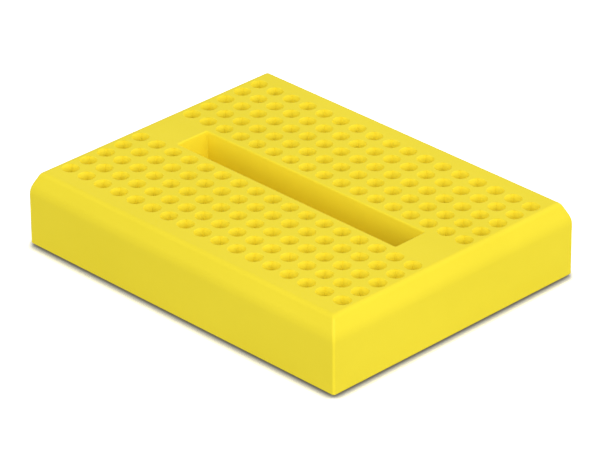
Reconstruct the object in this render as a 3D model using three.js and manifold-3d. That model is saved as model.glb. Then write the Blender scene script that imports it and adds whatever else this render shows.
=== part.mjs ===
// A mini solderless breadboard with 170 tie points: a moulded housing, thirty-four sprung
// contact clips that drop into it from below, a foam adhesive pad that closes the underside,
// and the release liner on the pad. Millimetres, +Z up, origin on the resting plane under
// the middle of the board, +X along the seventeen columns.

import * as THREE from 'three';
import { ConvexGeometry } from 'three/addons/geometries/ConvexGeometry.js';
import { mergeVertices } from 'three/addons/utils/BufferGeometryUtils.js';
import Module from 'manifold-3d';

// Tie-point grid. Every plan size of the board is a whole number of pitches.
const PITCH = 2.54;
const COLUMNS = 17;
const ROWS_PER_BANK = 5;
const BANK_GAP = 3 * PITCH;
const LENGTH = 18 * PITCH;
const WIDTH = 14 * PITCH;
const HOUSING_HEIGHT = 8.5;

// Layers under the housing, from the resting plane up.
const LINER_THICKNESS = 0.1;
const LINER_CLEARANCE = 0.02;
const PAD_THICKNESS = 0.9;
const RIM_UNDERSIDE = 0.3;
const RIM_WIDTH = 0.9;
const PAD_CLEARANCE = 0.15;
const LINER_INSET = 0.6;
const PAD_BOTTOM = LINER_THICKNESS + LINER_CLEARANCE;
const PAD_TOP = PAD_BOTTOM + PAD_THICKNESS;
const TOP = RIM_UNDERSIDE + HOUSING_HEIGHT;

// Top edge of the housing: a steep chamfer, blended into the side and into the top.
const CHAMFER_INSET = 0.93;
const CHAMFER_DROP = 1.97;
const LOWER_BLEND_RADIUS = 3;
const UPPER_BLEND_RADIUS = 0.65;
const BLEND_STEPS = 2;

// Centre groove, closed at both ends.
const GROOVE_LENGTH = 32.5;
const GROOVE_WIDTH = 4.3;
const GROOVE_DEPTH = 5;

// Tie point: an eight-sided lead-in that narrows to a square hole.
const HOLE_SIDE = 1;
const LEAD_IN_RADIUS = 0.9;
const LEAD_IN_DEPTH = 0.95;
const LEAD_IN_SIDES = 8;

// Clip slot, open below.
const TOP_PLATE = 1.5;
const SLOT_WIDTH = 1.8;
const SLOT_LENGTH = 12.4;
const SLOT_CEILING = TOP - TOP_PLATE;

// Contact clip: five pairs of leaves on one base strip.
const CLIP_SHEET = 0.25;
const CLIP_HEIGHT = 6;
const LEAF_LENGTH = 1.9;
const CLIP_LENGTH = (ROWS_PER_BANK - 1) * PITCH + LEAF_LENGTH;
const HEEL_HALF_WIDTH = 0.65;
const PINCH_HALF_WIDTH = 0.2;
const PINCH_HEIGHT = 4.85;
const MOUTH_HALF_WIDTH = 0.62;

// How far a cutting solid runs past the surface it opens.
const OVERRUN = 0.5;

const wasm = await Module();
wasm.setup();

// Turns a closed three.js geometry into a solid that can be joined and cut.
function solidOf(geometry) {
  const bare = geometry.clone();
  bare.deleteAttribute('normal');
  bare.deleteAttribute('uv');
  const merged = mergeVertices(bare);
  return new wasm.Manifold(new wasm.Mesh({
    numProp: 3,
    vertProperties: new Float32Array(merged.attributes.position.array),
    triVerts: new Uint32Array(merged.index.array),
  }));
}

function geometryOf(solid) {
  const mesh = solid.getMesh();
  const geometry = new THREE.BufferGeometry();
  geometry.setAttribute('position', new THREE.BufferAttribute(mesh.vertProperties, 3));
  geometry.setIndex(new THREE.BufferAttribute(mesh.triVerts, 1));
  geometry.computeVertexNormals();
  return geometry;
}

function joined(solids) {
  return solids.reduce((whole, next) => whole.add(next));
}

// A box from its plan size, its plan centre and its lowest and highest level.
function boxBetween(length, width, bottom, top, centreX = 0, centreY = 0) {
  const box = new THREE.BoxGeometry(length, width, top - bottom);
  return box.translate(centreX, centreY, (bottom + top) / 2);
}

// Extrudes an outline drawn in X and Z along Y, centred on Y = 0.
function extrudeAlongY(shape, depth) {
  const geometry = new THREE.ExtrudeGeometry(shape, { depth, bevelEnabled: false });
  return geometry.rotateX(Math.PI / 2).translate(0, depth / 2, 0);
}

const columnX = (column) => (column - (COLUMNS - 1) / 2) * PITCH;
const rowY = (row) => BANK_GAP / 2 + row * PITCH;
const bankCentreY = rowY((ROWS_PER_BANK - 1) / 2);
const columns = Array.from({ length: COLUMNS }, (_, column) => column);
const rows = Array.from({ length: ROWS_PER_BANK }, (_, row) => row);
const banks = [
  { name: 'front', side: -1 },
  { name: 'rear', side: 1 },
];

// Points of a blend arc that replaces a corner: from, through and to are the tangent point
// before the corner, the corner itself and the tangent point after it.
function blendPoints(from, corner, to) {
  return new THREE.QuadraticBezierCurve(from, corner, to).getPoints(BLEND_STEPS);
}

// One side of the housing's cross-section, from the rim up to the top, for a half width.
function sideOutline(halfWidth) {
  const shoulder = new THREE.Vector2(halfWidth, TOP - CHAMFER_DROP);
  const crest = new THREE.Vector2(halfWidth - CHAMFER_INSET, TOP);
  const slope = crest.clone().sub(shoulder).normalize();
  const lean = Math.atan2(CHAMFER_INSET, CHAMFER_DROP);
  const lowerTangent = LOWER_BLEND_RADIUS * Math.tan(lean / 2);
  const upperTangent = UPPER_BLEND_RADIUS * Math.tan((Math.PI / 2 - lean) / 2);
  return [
    new THREE.Vector2(halfWidth, RIM_UNDERSIDE),
    ...blendPoints(
      shoulder.clone().sub(new THREE.Vector2(0, lowerTangent)),
      shoulder,
      shoulder.clone().addScaledVector(slope, lowerTangent),
    ),
    ...blendPoints(
      crest.clone().addScaledVector(slope, -upperTangent),
      crest,
      crest.clone().sub(new THREE.Vector2(upperTangent, 0)),
    ),
  ];
}

function crossSection(halfWidth) {
  const right = sideOutline(halfWidth);
  const left = right.map((point) => new THREE.Vector2(-point.x, point.y)).reverse();
  return new THREE.Shape([...right, ...left]);
}

// The block with its four chamfered top edges: the two cross-sections, each run past the
// other's sides, meet in mitred corners.
function housingBlock() {
  const alongY = extrudeAlongY(crossSection(LENGTH / 2), WIDTH + OVERRUN);
  const alongX = extrudeAlongY(crossSection(WIDTH / 2), LENGTH + OVERRUN).rotateZ(Math.PI / 2);
  return solidOf(alongY).intersect(solidOf(alongX));
}

// Square hole and lead-in of one tie point.
function tiePoint(x, y) {
  const half = HOLE_SIDE / 2;
  const corners = [[-half, -half], [half, -half], [half, half], [-half, half]];
  const throat = corners.map(([dx, dy]) => new THREE.Vector3(x + dx, y + dy, TOP - LEAD_IN_DEPTH));
  const ring = Array.from({ length: LEAD_IN_SIDES }, (_, side) => {
    const angle = ((side + 0.5) / LEAD_IN_SIDES) * 2 * Math.PI;
    return [x + LEAD_IN_RADIUS * Math.cos(angle), y + LEAD_IN_RADIUS * Math.sin(angle)];
  });
  const mouth = [TOP, TOP + OVERRUN].flatMap(
    (level) => ring.map(([px, py]) => new THREE.Vector3(px, py, level)),
  );
  const shaft = boxBetween(HOLE_SIDE, HOLE_SIDE, SLOT_CEILING - OVERRUN, TOP + OVERRUN, x, y);
  return solidOf(new ConvexGeometry([...throat, ...mouth])).add(solidOf(shaft));
}

function housing() {
  const grooveCut = boxBetween(GROOVE_LENGTH, GROOVE_WIDTH, TOP - GROOVE_DEPTH, TOP + OVERRUN);
  const padRecess = boxBetween(
    LENGTH - 2 * RIM_WIDTH, WIDTH - 2 * RIM_WIDTH, RIM_UNDERSIDE - OVERRUN, PAD_TOP,
  );
  const slots = banks.flatMap(({ side }) => columns.map((column) => boxBetween(
    SLOT_WIDTH, SLOT_LENGTH, PAD_TOP - OVERRUN, SLOT_CEILING, columnX(column), side * bankCentreY,
  )));
  const tiePoints = banks.flatMap(({ side }) => columns.flatMap(
    (column) => rows.map((row) => tiePoint(columnX(column), side * rowY(row))),
  ));
  const cuts = [grooveCut, padRecess, ...slots].map(solidOf).concat(tiePoints);
  return geometryOf(housingBlock().subtract(joined(cuts)));
}

// Outline of a bent strip of sheet from the middle line of its section, mitred at the bends.
function stripOutline(middle, thickness) {
  const offset = (side) => middle.map((point, index) => {
    const before = middle[Math.max(index - 1, 0)];
    const after = middle[Math.min(index + 1, middle.length - 1)];
    const into = (index > 0 ? point.clone().sub(before) : after.clone().sub(point)).normalize();
    const out = (index < middle.length - 1 ? after.clone().sub(point) : point.clone().sub(before));
    const bisector = into.clone().add(out.normalize()).normalize();
    const reach = (side * thickness) / 2 / bisector.dot(into);
    return new THREE.Vector2(point.x - bisector.y * reach, point.y + bisector.x * reach);
  });
  return new THREE.Shape([...offset(1), ...offset(-1).reverse()]);
}

// One stamped clip: a folded channel whose two walls lean in to the pinch and flare out again
// at the mouth. Gaps part the walls into five pairs of leaves on one base strip.
function contactClip() {
  const heelHeight = CLIP_SHEET / 2;
  const rightLeaf = [
    [HEEL_HALF_WIDTH, heelHeight],
    [PINCH_HALF_WIDTH, PINCH_HEIGHT],
    [MOUTH_HALF_WIDTH, CLIP_HEIGHT - heelHeight],
  ];
  const leftLeaf = rightLeaf.map(([x, z]) => [-x, z]).reverse();
  const middle = [...leftLeaf, ...rightLeaf].map(([x, z]) => new THREE.Vector2(x, z));
  const channel = extrudeAlongY(stripOutline(middle, CLIP_SHEET), CLIP_LENGTH);
  const gaps = rows.slice(1).map((row) => boxBetween(
    SLOT_WIDTH, PITCH - LEAF_LENGTH, CLIP_SHEET, CLIP_HEIGHT + OVERRUN, 0, rowY(row - 0.5) - bankCentreY,
  ));
  return geometryOf(solidOf(channel).subtract(joined(gaps.map(solidOf))));
}

function foamPad() {
  const inset = 2 * (RIM_WIDTH + PAD_CLEARANCE);
  return boxBetween(LENGTH - inset, WIDTH - inset, PAD_BOTTOM, PAD_TOP);
}

function releaseLiner() {
  return boxBetween(LENGTH - 2 * LINER_INSET, WIDTH - 2 * LINER_INSET, 0, LINER_THICKNESS);
}

const yellowPlastic = { color: 0xf2dd3c, roughness: 0.45, metalness: 0 };
const platedSpring = { color: 0xc3c4c2, roughness: 0.3, metalness: 1 };
const whiteFoam = { color: 0xe9e6dc, roughness: 0.95, metalness: 0 };
const waxedPaper = { color: 0xf3eedf, roughness: 0.7, metalness: 0 };

function piece(name, geometry, finish) {
  const mesh = new THREE.Mesh(geometry, new THREE.MeshStandardMaterial(finish));
  mesh.name = name;
  return mesh;
}

const breadboard = new THREE.Group();
breadboard.add(piece('housing', housing(), yellowPlastic));
breadboard.add(piece('foam_pad', foamPad(), whiteFoam));
breadboard.add(piece('release_liner', releaseLiner(), waxedPaper));

const clipGeometry = contactClip();
for (const { name, side } of banks) {
  for (const column of columns) {
    const number = String(column + 1).padStart(2, '0');
    const clip = piece(`contact_clip_${name}_${number}`, clipGeometry, platedSpring);
    clip.position.set(columnX(column), side * bankCentreY, PAD_TOP);
    breadboard.add(clip);
  }
}

export default breadboard;
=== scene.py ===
"""Looks of the mini solderless breadboard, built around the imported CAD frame."""

import math
from bisect import bisect_right

import bmesh
import bpy
from mathutils import Matrix, Vector, noise
from mathutils.geometry import delaunay_2d_cdt


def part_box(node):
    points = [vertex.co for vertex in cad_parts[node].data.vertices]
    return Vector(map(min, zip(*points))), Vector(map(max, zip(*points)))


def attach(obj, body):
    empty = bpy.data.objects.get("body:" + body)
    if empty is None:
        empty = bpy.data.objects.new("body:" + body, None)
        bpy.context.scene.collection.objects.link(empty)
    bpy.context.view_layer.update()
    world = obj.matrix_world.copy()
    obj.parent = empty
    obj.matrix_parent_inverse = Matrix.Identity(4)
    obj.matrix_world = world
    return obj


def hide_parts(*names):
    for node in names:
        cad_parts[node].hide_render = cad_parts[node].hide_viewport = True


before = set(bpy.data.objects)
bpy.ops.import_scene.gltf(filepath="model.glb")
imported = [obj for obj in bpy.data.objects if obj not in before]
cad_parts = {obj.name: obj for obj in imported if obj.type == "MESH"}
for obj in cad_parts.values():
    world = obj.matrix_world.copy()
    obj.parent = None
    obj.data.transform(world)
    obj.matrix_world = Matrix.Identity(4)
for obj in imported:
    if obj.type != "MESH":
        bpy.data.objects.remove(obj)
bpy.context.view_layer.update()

MM = 0.001

# Camera: where it stands round the board, in degrees and millimetres, and how its frame is turned
# and shifted.
CAMERA_AZIMUTH = math.radians(45.43)
CAMERA_ELEVATION = math.radians(28.445)
CAMERA_ROLL = math.radians(-0.393)
CAMERA_DISTANCE = 454.17
CAMERA_RIGHT = 0.077
CAMERA_UP = 3.273
CAMERA_LENS = 256.65
SENSOR_WIDTH = 36
CAMERA_CLIP = (0.01, 20)    # metres

# Layout, read from the frame. From here on, lengths are in millimetres unless a comment says so.
HOUSING_LOW, HOUSING_HIGH = (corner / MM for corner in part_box("housing"))
PAD_LOW, PAD_HIGH = (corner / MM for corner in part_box("foam_pad"))
LINER_LOW, LINER_HIGH = (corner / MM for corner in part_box("release_liner"))
CLIP_NODES = sorted(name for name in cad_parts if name.startswith("contact_clip_"))
TOP = HOUSING_HIGH.z
RIM = HOUSING_LOW.z

# Tie points: a square hole under a round mouth. With squaring below 1 the lead-in turns square
# soon below the mouth.
PITCH = 2.54
ROWS_PER_BANK = 5
HOLE_SIDE = 1.0
MOUTH_RADIUS = 0.94
LEAD_IN_DEPTH = 1.15
MOUTH_ROUNDING = 0.08
THROAT_ROUNDING = 0.3
SQUARING = 0.4
HOLE_SEGMENTS = 32
HOLE_STEPS, HOLE_SUPPORT = 3, 0.03

# Housing section: chamfered top edge, rounded lower edge and softened upright corners.
CHAMFER_INSET = 0.93
CHAMFER_DROP = 1.97
LOWER_BLEND_RADIUS = 3.0
UPPER_BLEND_RADIUS = 0.65
FOOT_RADIUS = 0.1
CORNER_RADIUS = 0.25

# Groove in the top, and the recess for the pad and the clip slots underneath.
GROOVE_HALF_LENGTH = 16.25
GROOVE_HALF_WIDTH = 2.15
GROOVE_DEPTH = 5.0
GROOVE_EDGE_RADIUS = 0.18
GROOVE_CORNER_RADIUS = 0.12
GROOVE_LEAST_RADIUS = 0.02
RECESS_INSET = 0.9
SLOT_HALF_WIDTH = 0.9
SLOT_HALF_LENGTH = 6.2
SLOT_CEILING = TOP - 1.5
SLOT_CORNER_RADIUS = 0.15

# Contact clip: sheet thickness, the middle line of one wall from the base strip up, and the
# leaves cut into it.
SHEET = 0.25
WALL = ((0.65, 0.125), (0.2, 4.85), (0.62, 5.875))
HEEL_RADIUS = 0.3
PINCH_RADIUS = 0.6
LEAF_HALF_WIDTH = 0.95
LEAF_ROOT = 1.3
LEAF_TIP_RADIUS = 0.5
LEAF_ROOT_RADIUS = 0.28
SHEET_EDGE = 0.03
FOLD_STEPS, FOLD_SUPPORT = 5, 0.02
BLANK_STEPS, BLANK_SUPPORT = 3, 0.03

# Foam pad, whose cut sides bulge and waver, and release liner.
PAD_CORNER_RADIUS = 0.8
PAD_EDGE_RADIUS = 0.12
PAD_BULGE = 0.06
PAD_WAVE = 0.035
PAD_STEP = 0.7
PAD_STEPS, PAD_SUPPORT = 4, 0.04
LINER_CORNER_RADIUS = 1.1
LINER_EDGE_RADIUS = 0.03
LINER_STEPS, LINER_SUPPORT = 3, 0.01
LINER_CORNER_STEPS = 8

# Finishes: the two colours that each one varies between, in linear light.
YELLOW = ((0.905, 0.745, 0.036), (0.94, 0.775, 0.040))
NICKEL = ((0.58, 0.56, 0.51), (0.72, 0.70, 0.66))
FOAM_WHITE = ((0.74, 0.72, 0.66), (0.84, 0.82, 0.77))
PAPER_CREAM = ((0.80, 0.75, 0.62), (0.87, 0.83, 0.72))

# Soft studio light: disks that stand round the board, as name, azimuth, elevation and power in
# watts. Their distance and diameter are in metres.
WORLD_STRENGTH = 0.52
LAMP_DISTANCE = 0.8
LAMP_SIZE = 0.45
LAMPS = (
    ("key", 45, 40, 1.48),
    ("front", 0, 20, 1.62),
    ("right", 90, 20, 2.35),
    ("back", 180, 20, 1.79),
    ("left", 270, 20, 0.31),
)

# Floor: half its side in metres, how light it is for the light that falls on the board, and how
# light the camera sees it, from a painted contact shadow right beside the board to clear of it.
# That painted shadow comes from ambient occlusion, reaches FLOOR_CONTACT out and fades with the
# power FLOOR_FALLOFF.
FLOOR_HALF = 2.0
FLOOR_BOUNCE = 0.45
FLOOR_SEEN = (0.36, 1.9)
FLOOR_CONTACT = 1.15
FLOOR_FALLOFF = 3.4
FLOOR_SHADE_SAMPLES = 8

# Meshing: points along an arc, how close to its ends the flats beside it get a point, and the
# turn in degrees above which an edge is drawn sharp. Open sections start, and most end, with a
# run of which only the direction counts.
ARC_STEPS, CORNER_STEPS = 8, 4
SUPPORT = 0.06
SHARP_ANGLE = 40
RUN = 1


# ---------------------------------------------------------------- outlines and surfaces

def rounded_path(points, radii, closed=False, steps=ARC_STEPS, support=SUPPORT):
    """A line through points whose corners are arcs of the radii given, with one more point
    close to each arc's ends to keep the flats beside it flat. An open line keeps its ends."""
    points = [Vector(p) for p in points]
    if closed:
        triples = zip(points[-1:] + points, points, points[1:] + points[:1])
    else:
        triples = zip(points, points[1:], points[2:])
    path = []
    for (before, corner, after), radius in zip(triples, radii):
        back = (before - corner).normalized()
        ahead = (after - corner).normalized()
        half_angle = back.angle(ahead) / 2
        tangent = radius / math.tan(half_angle)
        centre = corner + (back + ahead).normalized() * (radius / math.sin(half_angle))
        start = corner + back * tangent - centre
        end = corner + ahead * tangent - centre
        sweep = math.pi - 2 * half_angle
        turn = math.copysign(1, start.x * end.y - start.y * end.x)
        path.append(centre + start + back * support)
        for step in range(steps + 1):
            angle = turn * sweep * step / steps
            path.append(centre + Matrix.Rotation(angle, 2) @ start)
        path.append(centre + end + ahead * support)
    return path if closed else [points[0], *path, points[-1]]


def rounded_rectangle(half_x, half_y, radius, steps=CORNER_STEPS):
    corners = ((half_x, half_y), (-half_x, half_y), (-half_x, -half_y), (half_x, -half_y))
    return rounded_path(corners, [radius] * 4, closed=True, steps=steps)


def at_level(outline, z, x=0, y=0):
    return [Vector((x + p.x, y + p.y, z)) for p in outline]


def triangles_inside(rings, creases=()):
    """Triangles inside the first ring and outside the others, which are convex. Their corners
    are places in the joined rings. Creases are pairs of places that an edge has to join."""
    flat, edges, ring_of = [], list(creases), []
    for number, ring in enumerate(rings):
        first = len(flat)
        flat += ring
        edges += [(first + i, first + (i + 1) % len(ring)) for i in range(len(ring))]
        ring_of += [number] * len(ring)
    made = delaunay_2d_cdt(flat, edges, [], 1, 1e-6)
    source = [origin[0] for origin in made[3]]
    for face in made[2]:
        corners = [source[v] for v in face]
        touched = {ring_of[corner] for corner in corners}
        if len(rings) == 1 or len(touched) > 1 or touched == {0}:
            yield corners


class Surface:
    """Gathers the vertices and faces of one closed mesh, in millimetres."""

    def __init__(self):
        self.points = []
        self.faces = []

    def loop(self, points):
        first = len(self.points)
        self.points.extend(points)
        return list(range(first, len(self.points)))

    def bridge(self, one, other):
        count = len(one)
        for i in range(count):
            j = (i + 1) % count
            self.faces.append((one[i], one[j], other[j], other[i]))

    def loft(self, outlines):
        """Joins outlines of equal length in a chain. Returns all the loops."""
        loops = [self.loop(outline) for outline in outlines]
        for one, other in zip(loops, loops[1:]):
            self.bridge(one, other)
        return loops

    def fill(self, outer, holes=(), flat=None, creases=()):
        """A face inside the outer loop and outside the holes. Its triangles are found in plan,
        or on the flat outline given."""
        rings = [outer, *holes]
        joined = [vertex for ring in rings for vertex in ring]
        plans = [flat] if flat else [[self.points[i].to_2d() for i in ring] for ring in rings]
        for corners in triangles_inside(plans, creases):
            self.faces.append([joined[corner] for corner in corners])

    def mesh(self, name):
        mesh = bpy.data.meshes.new(name)
        mesh.from_pydata([p * MM for p in self.points], [], self.faces)
        work = bmesh.new()
        work.from_mesh(mesh)
        bmesh.ops.recalc_face_normals(work, faces=work.faces)
        work.to_mesh(mesh)
        work.free()
        mesh.shade_smooth()
        mesh.set_sharp_from_angle(angle=math.radians(SHARP_ANGLE))
        return mesh


def add_piece(name, mesh, material, body, replaced, place=(0, 0, 0)):
    piece = bpy.data.objects.new(name, mesh)
    bpy.context.scene.collection.objects.link(piece)
    if not mesh.materials:
        mesh.materials.append(material)
    piece.location = Vector(place) * MM
    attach(piece, body)
    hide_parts(replaced)
    return piece


# ---------------------------------------------------------------- materials

class Finish:
    """A Principled material whose colour, roughness and relief come from noise that is fixed to
    the piece. Sizes are in millimetres."""

    def __init__(self, name, **values):
        self.material = bpy.data.materials.new(name)
        self.material.use_nodes = True
        self.nodes = self.material.node_tree.nodes
        self.links = self.material.node_tree.links
        self.shader = self.nodes["Principled BSDF"]
        self.place = self.nodes.new("ShaderNodeTexCoord").outputs["Object"]
        self.relief = None
        for socket, value in values.items():
            self.shader.inputs[socket.replace("_", " ")].default_value = value

    def grain(self, size, detail=3, stretch=(1, 1, 1)):
        """Noise with features of about that size, drawn out along each axis by stretch."""
        mapping = self.nodes.new("ShaderNodeMapping")
        mapping.inputs["Scale"].default_value = [1 / (size * MM * s) for s in stretch]
        texture = self.nodes.new("ShaderNodeTexNoise")
        texture.inputs["Scale"].default_value = 1
        texture.inputs["Detail"].default_value = detail
        self.links.new(self.place, mapping.inputs["Vector"])
        self.links.new(mapping.outputs["Vector"], texture.inputs["Vector"])
        return texture.outputs["Fac"]

    def cells(self, size):
        """Distance to the middle of the nearest cell: 0 there and about 1 at the walls."""
        mapping = self.nodes.new("ShaderNodeMapping")
        mapping.inputs["Scale"].default_value = [1 / (size * MM)] * 3
        texture = self.nodes.new("ShaderNodeTexVoronoi")
        texture.inputs["Scale"].default_value = 1
        self.links.new(self.place, mapping.inputs["Vector"])
        self.links.new(mapping.outputs["Vector"], texture.inputs["Vector"])
        return texture.outputs["Distance"]

    def spread(self, source, low, high, from_low=0.3, from_high=0.7):
        """Maps the source from its own range to low..high."""
        node = self.nodes.new("ShaderNodeMapRange")
        for socket, value in zip(node.inputs[1:5], (from_low, from_high, low, high)):
            socket.default_value = value
        self.links.new(source, node.inputs["Value"])
        return node.outputs["Result"]

    def colour(self, source, one, other):
        mix = self.nodes.new("ShaderNodeMix")
        mix.data_type = "RGBA"
        colours = [socket for socket in mix.inputs if socket.type == "RGBA"]
        for socket, value in zip(colours, (one, other)):
            socket.default_value = (*value, 1)
        self.links.new(self.spread(source, 0, 1), mix.inputs["Factor"])
        result = next(socket for socket in mix.outputs if socket.type == "RGBA")
        self.links.new(result, self.shader.inputs["Base Color"])

    def roughness(self, source, low, high):
        self.links.new(self.spread(source, low, high), self.shader.inputs["Roughness"])

    def bump(self, source, depth):
        """Adds relief of that depth, in millimetres, on top of any relief before it."""
        node = self.nodes.new("ShaderNodeBump")
        node.inputs["Distance"].default_value = depth * MM
        self.links.new(source, node.inputs["Height"])
        if self.relief:
            self.links.new(self.relief, node.inputs["Normal"])
        self.relief = node.outputs["Normal"]
        self.links.new(self.relief, self.shader.inputs["Normal"])


def yellow_abs():
    """Moulded plastic: even colour with slow flow marks, and a fine satin grain."""
    finish = Finish("yellow_abs", Specular_IOR_Level=0.1)
    finish.colour(finish.grain(size=9, stretch=(2, 1, 1)), *YELLOW)
    finish.roughness(finish.grain(size=1.5), low=0.36, high=0.44)
    finish.bump(finish.grain(size=0.25, detail=4), depth=0.004)
    finish.bump(finish.grain(size=4), depth=0.01)
    return finish.material


def nickel_plate():
    """Rolled and plated strip: streaks along the strip and small stains."""
    finish = Finish("nickel_plate", Metallic=1.0)
    finish.colour(finish.grain(size=1.2, stretch=(1, 4, 1)), *NICKEL)
    finish.roughness(finish.grain(size=0.12, detail=5, stretch=(1, 14, 1)), low=0.2, high=0.42)
    finish.bump(finish.grain(size=0.06, detail=4, stretch=(1, 20, 1)), depth=0.002)
    return finish.material


def white_foam():
    """Closed-cell foam tape: round cells at the cut edges under a thin film of adhesive."""
    finish = Finish("white_foam", Specular_IOR_Level=0.35)
    finish.colour(finish.grain(size=2.5), *FOAM_WHITE)
    finish.roughness(finish.grain(size=0.8), low=0.6, high=0.85)
    finish.bump(finish.cells(size=0.16), depth=0.03)
    finish.bump(finish.grain(size=1.1), depth=0.03)
    return finish.material


def release_paper():
    """Silicone-coated paper: pressed fibres and a faint cloudiness."""
    finish = Finish("release_paper", Specular_IOR_Level=0.45)
    finish.colour(finish.grain(size=3.5, detail=6), *PAPER_CREAM)
    finish.roughness(finish.grain(size=1.6), low=0.32, high=0.5)
    finish.bump(finish.grain(size=0.22, detail=5, stretch=(3, 1, 1)), depth=0.006)
    finish.bump(finish.grain(size=0.3, detail=5, stretch=(1, 3, 1)), depth=0.006)
    return finish.material


# ---------------------------------------------------------------- housing

def square_point(angle, half):
    """The point of a square with that half side, in the direction of angle."""
    direction = Vector((math.cos(angle), math.sin(angle)))
    return direction * half / max(abs(direction.x), abs(direction.y))


def tie_point_outlines():
    """Outlines of one tie point and their levels, from the flat top down to the slot. The
    round mouth turns into the square throat on the way."""
    half = HOLE_SIDE / 2
    section = rounded_path(
        [
            (MOUTH_RADIUS + RUN, 0),
            (MOUTH_RADIUS, 0),
            (half, -LEAD_IN_DEPTH),
            (half, SLOT_CEILING - TOP),
        ],
        [MOUTH_ROUNDING, THROAT_ROUNDING],
        steps=HOLE_STEPS,
        support=HOLE_SUPPORT,
    )
    angles = [2 * math.pi * i / HOLE_SEGMENTS for i in range(HOLE_SEGMENTS)]
    outlines = []
    for reach, level in section[1:]:
        inward = (MOUTH_RADIUS - reach) / (MOUTH_RADIUS - half)
        square = min(max(inward, 0), 1) ** SQUARING
        outline = []
        for angle in angles:
            round_point = reach * Vector((math.cos(angle), math.sin(angle)))
            outline.append(round_point.lerp(square_point(angle, reach), square))
        outlines.append((outline, TOP + level))
    return outlines


def housing_shell(surface):
    """Outside, from the flat top over the chamfer, down the side, in under the rim and up
    into the recess for the pad. Returns the loops round the top and round the recess."""
    half_x, half_y = HOUSING_HIGH.x, HOUSING_HIGH.y
    section = rounded_path(
        [
            (CHAMFER_INSET + RUN, TOP),
            (CHAMFER_INSET, TOP),
            (0, TOP - CHAMFER_DROP),
            (0, RIM),
            (RECESS_INSET, RIM),
            (RECESS_INSET, PAD_HIGH.z),
        ],
        [UPPER_BLEND_RADIUS, LOWER_BLEND_RADIUS, FOOT_RADIUS, FOOT_RADIUS],
    )
    loops = surface.loft(
        at_level(rounded_rectangle(half_x - inset, half_y - inset, CORNER_RADIUS), z)
        for inset, z in section[1:]
    )
    return loops[0], loops[-1]


def groove(surface):
    """Walls and floor of the centre groove. Returns the loop round its mouth."""
    section = rounded_path(
        [
            (RUN, 0),
            (0, 0),
            (0, -GROOVE_DEPTH),
            (-RUN, -GROOVE_DEPTH),
        ],
        [GROOVE_EDGE_RADIUS, GROOVE_CORNER_RADIUS],
    )
    outlines = []
    for reach, level in section[1:-1]:
        radius = max(GROOVE_CORNER_RADIUS + reach, GROOVE_LEAST_RADIUS)
        outline = rounded_rectangle(GROOVE_HALF_LENGTH + reach, GROOVE_HALF_WIDTH + reach, radius)
        outlines.append(at_level(outline, TOP + level))
    loops = surface.loft(outlines)
    surface.fill(loops[-1])
    return loops[0]


def housing_mesh():
    surface = Surface()
    top_edge, recess_edge = housing_shell(surface)
    groove_edge = groove(surface)
    tie_point = tie_point_outlines()
    slot_outline = rounded_rectangle(SLOT_HALF_WIDTH, SLOT_HALF_LENGTH, SLOT_CORNER_RADIUS)
    mouths, slot_edges = [], []
    for node in CLIP_NODES:
        centre = clip_place(node)
        slot_edge, ceiling_edge = surface.loft(
            at_level(slot_outline, z, centre.x, centre.y) for z in (PAD_HIGH.z, SLOT_CEILING)
        )
        slot_edges.append(slot_edge)
        throats = []
        for row in range(ROWS_PER_BANK):
            y = centre.y + (row - (ROWS_PER_BANK - 1) / 2) * PITCH
            loops = surface.loft(
                at_level(outline, level, centre.x, y) for outline, level in tie_point
            )
            mouths.append(loops[0])
            throats.append(loops[-1])
        surface.fill(ceiling_edge, throats)
    surface.fill(recess_edge, slot_edges)
    surface.fill(top_edge, [groove_edge, *mouths])
    return surface.mesh("housing_moulding")


# ---------------------------------------------------------------- contact clips

def clip_place(node):
    """Middle of a clip in plan, at the level of its underside."""
    low, high = (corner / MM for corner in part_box(node))
    return Vector(((low.x + high.x) / 2, (low.y + high.y) / 2, low.z))


class Fold:
    """Bends a flat blank round the middle line of the clip's section. A place on the blank is
    the distance along that line from the middle of the base, the distance along the clip, and
    the distance out of the sheet."""

    def __init__(self):
        right = list(WALL)
        left = [(-x, z) for x, z in reversed(WALL)]
        radii = [PINCH_RADIUS, HEEL_RADIUS, HEEL_RADIUS, PINCH_RADIUS]
        self.line = rounded_path(left + right, radii, steps=FOLD_STEPS, support=FOLD_SUPPORT)
        steps = [(b - a).length for a, b in zip(self.line, self.line[1:])]
        self.reach = sum(steps) / 2
        self.stations = [sum(steps[:i]) - self.reach for i in range(len(self.line))]
        ways = [(b - a).normalized() for a, b in zip(self.line, self.line[1:])]
        self.normals = []
        for before, after in zip([ways[0], *ways], [*ways, ways[-1]]):
            middle = (before + after).normalized()
            self.normals.append(Vector((-middle.y, middle.x)) / middle.dot(after))

    def at(self, along, across, out):
        last = len(self.line) - 2
        i = min(max(bisect_right(self.stations, along) - 1, 0), last)
        part = (along - self.stations[i]) / (self.stations[i + 1] - self.stations[i])
        place = self.line[i].lerp(self.line[i + 1], part)
        place += self.normals[i].lerp(self.normals[i + 1], part) * out
        return Vector((place.x, across, place.y))


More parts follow.
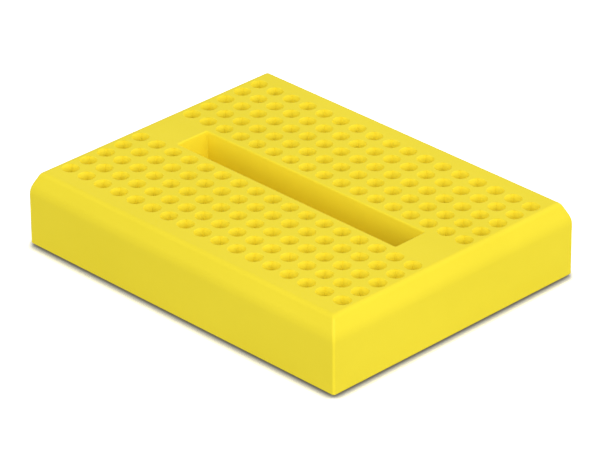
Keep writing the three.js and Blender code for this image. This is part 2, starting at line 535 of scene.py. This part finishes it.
def clip_blank(reach, stations, inset):
    """Outline of the stamped blank, drawn in by inset, with a point wherever a bend crosses a
    straight edge. Also returns the creases between those points."""
    tip, root, half = reach - inset, LEAF_ROOT - inset, LEAF_HALF_WIDTH - inset
    edge = []
    for row in range(ROWS_PER_BANK):
        y = (row - (ROWS_PER_BANK - 1) / 2) * PITCH
        if row:
            edge.append((root, y - half, LEAF_ROOT_RADIUS + inset))
        edge.append((tip, y - half, LEAF_TIP_RADIUS - inset))
        edge.append((tip, y + half, LEAF_TIP_RADIUS - inset))
        if row < ROWS_PER_BANK - 1:
            edge.append((root, y + half, LEAF_ROOT_RADIUS + inset))
    corners = edge + [(-along, across, radius) for along, across, radius in reversed(edge)]
    radii = [radius for _, _, radius in corners]
    path = rounded_path(
        [(along, across) for along, across, _ in corners],
        radii,
        closed=True,
        steps=BLANK_STEPS,
        support=BLANK_SUPPORT,
    )
    outline, crossings = [], {}
    for here, ahead in zip(path, path[1:] + path[:1]):
        outline.append(here)
        if abs(here.y - ahead.y) > 1e-6:
            continue
        between = [s for s in stations if min(here.x, ahead.x) < s < max(here.x, ahead.x)]
        for station in sorted(between, reverse=ahead.x < here.x):
            crossings.setdefault(station, []).append((here.y, len(outline)))
            outline.append(Vector((station, here.y)))
    creases = []
    for found in crossings.values():
        places = [place for _, place in sorted(found)]
        creases += zip(places[::2], places[1::2])
    return outline, creases


def clip_mesh():
    """One strip of sheet with five pairs of leaves, its cut edges slightly broken."""
    fold = Fold()
    bends = fold.stations[1:-1]
    outer, _ = clip_blank(fold.reach, bends, 0)
    inner, creases = clip_blank(fold.reach, bends, SHEET_EDGE)
    surface = Surface()
    layers = (
        (inner, SHEET / 2),
        (outer, SHEET / 2 - SHEET_EDGE),
        (outer, SHEET_EDGE - SHEET / 2),
        (inner, -SHEET / 2),
    )
    loops = surface.loft([fold.at(p.x, p.y, out) for p in outline] for outline, out in layers)
    surface.fill(loops[0], flat=inner, creases=creases)
    surface.fill(loops[-1], flat=inner, creases=creases)
    return surface.mesh("contact_clip")


# ---------------------------------------------------------------- pad and liner

def pad_mesh():
    """Slab of foam whose cut sides bulge and waver a little."""
    radius = PAD_EDGE_RADIUS
    middle = (PAD_LOW.z + PAD_HIGH.z) / 2
    section = rounded_path(
        [
            (RUN, PAD_HIGH.z),
            (PAD_BULGE, PAD_HIGH.z),
            (0, middle),
            (PAD_BULGE, PAD_LOW.z),
            (RUN, PAD_LOW.z),
        ],
        [radius, 4 * radius, radius],
        steps=PAD_STEPS,
        support=PAD_SUPPORT,
    )
    sides = rounded_rectangle(PAD_HIGH.x, PAD_HIGH.y, PAD_CORNER_RADIUS)
    counts = [math.ceil((b - a).length / PAD_STEP) for a, b in zip(sides, sides[1:] + sides[:1])]
    outlines = []
    for inset, z in section[1:-1]:
        drawn_in = inset + PAD_WAVE
        sides = rounded_rectangle(PAD_HIGH.x - drawn_in, PAD_HIGH.y - drawn_in, PAD_CORNER_RADIUS)
        points = []
        for here, ahead, count in zip(sides, sides[1:] + sides[:1], counts):
            for i in range(count):
                point = here.lerp(ahead, i / count).to_3d()
                wave = PAD_WAVE * noise.noise((point + Vector((0, 0, z))) / (2 * PAD_STEP))
                points.append(point + point.normalized() * wave + Vector((0, 0, z)))
        outlines.append(points)
    surface = Surface()
    loops = surface.loft(outlines)
    surface.fill(loops[0])
    surface.fill(loops[-1])
    return surface.mesh("foam_tape")


def liner_mesh():
    """Die-cut sheet of paper with rounded corners."""
    radius = LINER_EDGE_RADIUS
    section = rounded_path(
        [(RUN, LINER_HIGH.z), (0, LINER_HIGH.z), (0, LINER_LOW.z), (RUN, LINER_LOW.z)],
        [radius, radius],
        steps=LINER_STEPS,
        support=LINER_SUPPORT,
    )
    outlines = []
    for inset, z in section[1:-1]:
        half_x, half_y = LINER_HIGH.x - inset, LINER_HIGH.y - inset
        sides = rounded_rectangle(half_x, half_y, LINER_CORNER_RADIUS, LINER_CORNER_STEPS)
        outlines.append(at_level(sides, z))
    surface = Surface()
    loops = surface.loft(outlines)
    surface.fill(loops[0])
    surface.fill(loops[-1])
    return surface.mesh("liner_paper")


# ---------------------------------------------------------------- stage, light and camera

def direction(azimuth, elevation):
    """Unit vector from the board towards an azimuth round it and an elevation over it."""
    flat = math.cos(elevation)
    return Vector((math.sin(azimuth) * flat, -math.cos(azimuth) * flat, math.sin(elevation)))


def add_floor():
    """White studio floor. The camera sees it brighter than the board does, as in an overexposed
    studio picture, and darker round the board's foot, where ambient occlusion paints a contact
    shadow into its colour."""
    mesh = bpy.data.meshes.new("floor")
    corners = [(-1, -1), (1, -1), (1, 1), (-1, 1)]
    mesh.from_pydata([(x * FLOOR_HALF, y * FLOOR_HALF, 0) for x, y in corners], [], [(0, 1, 2, 3)])
    floor = bpy.data.objects.new("floor", mesh)
    bpy.context.scene.collection.objects.link(floor)
    material = bpy.data.materials.new("floor_white")
    material.use_nodes = True
    nodes, links = material.node_tree.nodes, material.node_tree.links
    nodes.remove(nodes["Principled BSDF"])
    # Painted contact shadow: ambient occlusion darkens the floor's colour round the board's foot.
    painted_contact_shadow = nodes.new("ShaderNodeAmbientOcclusion")
    painted_contact_shadow.samples = FLOOR_SHADE_SAMPLES
    painted_contact_shadow.inputs["Distance"].default_value = FLOOR_CONTACT * MM
    falloff = nodes.new("ShaderNodeMath")
    falloff.operation = "POWER"
    falloff.inputs[1].default_value = FLOOR_FALLOFF
    seen = nodes.new("ShaderNodeMapRange")
    seen.inputs["To Min"].default_value, seen.inputs["To Max"].default_value = FLOOR_SEEN
    path = nodes.new("ShaderNodeLightPath")
    shade = nodes.new("ShaderNodeMapRange")
    shade.inputs["To Min"].default_value = FLOOR_BOUNCE
    diffuse = nodes.new("ShaderNodeBsdfDiffuse")
    links.new(painted_contact_shadow.outputs["AO"], falloff.inputs[0])
    links.new(falloff.outputs["Value"], seen.inputs["Value"])
    links.new(seen.outputs["Result"], shade.inputs["To Max"])
    links.new(path.outputs["Is Camera Ray"], shade.inputs["Value"])
    links.new(shade.outputs["Result"], diffuse.inputs["Color"])
    links.new(diffuse.outputs["BSDF"], nodes["Material Output"].inputs["Surface"])
    mesh.materials.append(material)


def add_light():
    world = bpy.data.worlds.new("studio")
    world.use_nodes = True
    background = world.node_tree.nodes["Background"]
    background.inputs["Color"].default_value = (1, 1, 1, 1)
    background.inputs["Strength"].default_value = WORLD_STRENGTH
    bpy.context.scene.world = world
    for name, azimuth, elevation, power in LAMPS:
        data = bpy.data.lights.new(name, "AREA")
        data.shape = "DISK"
        data.size = LAMP_SIZE
        data.energy = power
        lamp = bpy.data.objects.new(name, data)
        bpy.context.scene.collection.objects.link(lamp)
        back = direction(math.radians(azimuth), math.radians(elevation))
        aim = back.to_track_quat("Z", "Y").to_matrix().to_4x4()
        lamp.matrix_world = Matrix.Translation(back * LAMP_DISTANCE) @ aim


def add_camera():
    data = bpy.data.cameras.new("camera")
    data.lens = CAMERA_LENS
    data.sensor_width = SENSOR_WIDTH
    data.clip_start, data.clip_end = CAMERA_CLIP
    back = direction(CAMERA_AZIMUTH, CAMERA_ELEVATION)
    level = Vector((math.cos(CAMERA_AZIMUTH), math.sin(CAMERA_AZIMUTH), 0))
    upright = back.cross(level)
    right = math.cos(CAMERA_ROLL) * level + math.sin(CAMERA_ROLL) * upright
    up = math.cos(CAMERA_ROLL) * upright - math.sin(CAMERA_ROLL) * level
    place = back * CAMERA_DISTANCE + right * CAMERA_RIGHT + up * CAMERA_UP + Vector((0, 0, RIM))
    turned = Matrix((right, up, back)).transposed().to_4x4()
    camera = bpy.data.objects.new("camera", data)
    bpy.context.scene.collection.objects.link(camera)
    camera.matrix_world = Matrix.Translation(place * MM) @ turned
    bpy.context.scene.camera = camera


# ---------------------------------------------------------------- the board

add_camera()
add_floor()
add_light()
bpy.context.scene.view_settings.view_transform = "Standard"

add_piece("housing_moulding", housing_mesh(), yellow_abs(), "board", "housing")
clip, nickel = clip_mesh(), nickel_plate()
for node in CLIP_NODES:
    name = node.replace("contact_clip", "spring_clip")
    add_piece(name, clip, nickel, "board", node, clip_place(node))
pad = add_piece("foam_tape", pad_mesh(), white_foam(), "board", "foam_pad")
add_piece("liner_sheet", liner_mesh(), release_paper(), "liner", "release_liner")
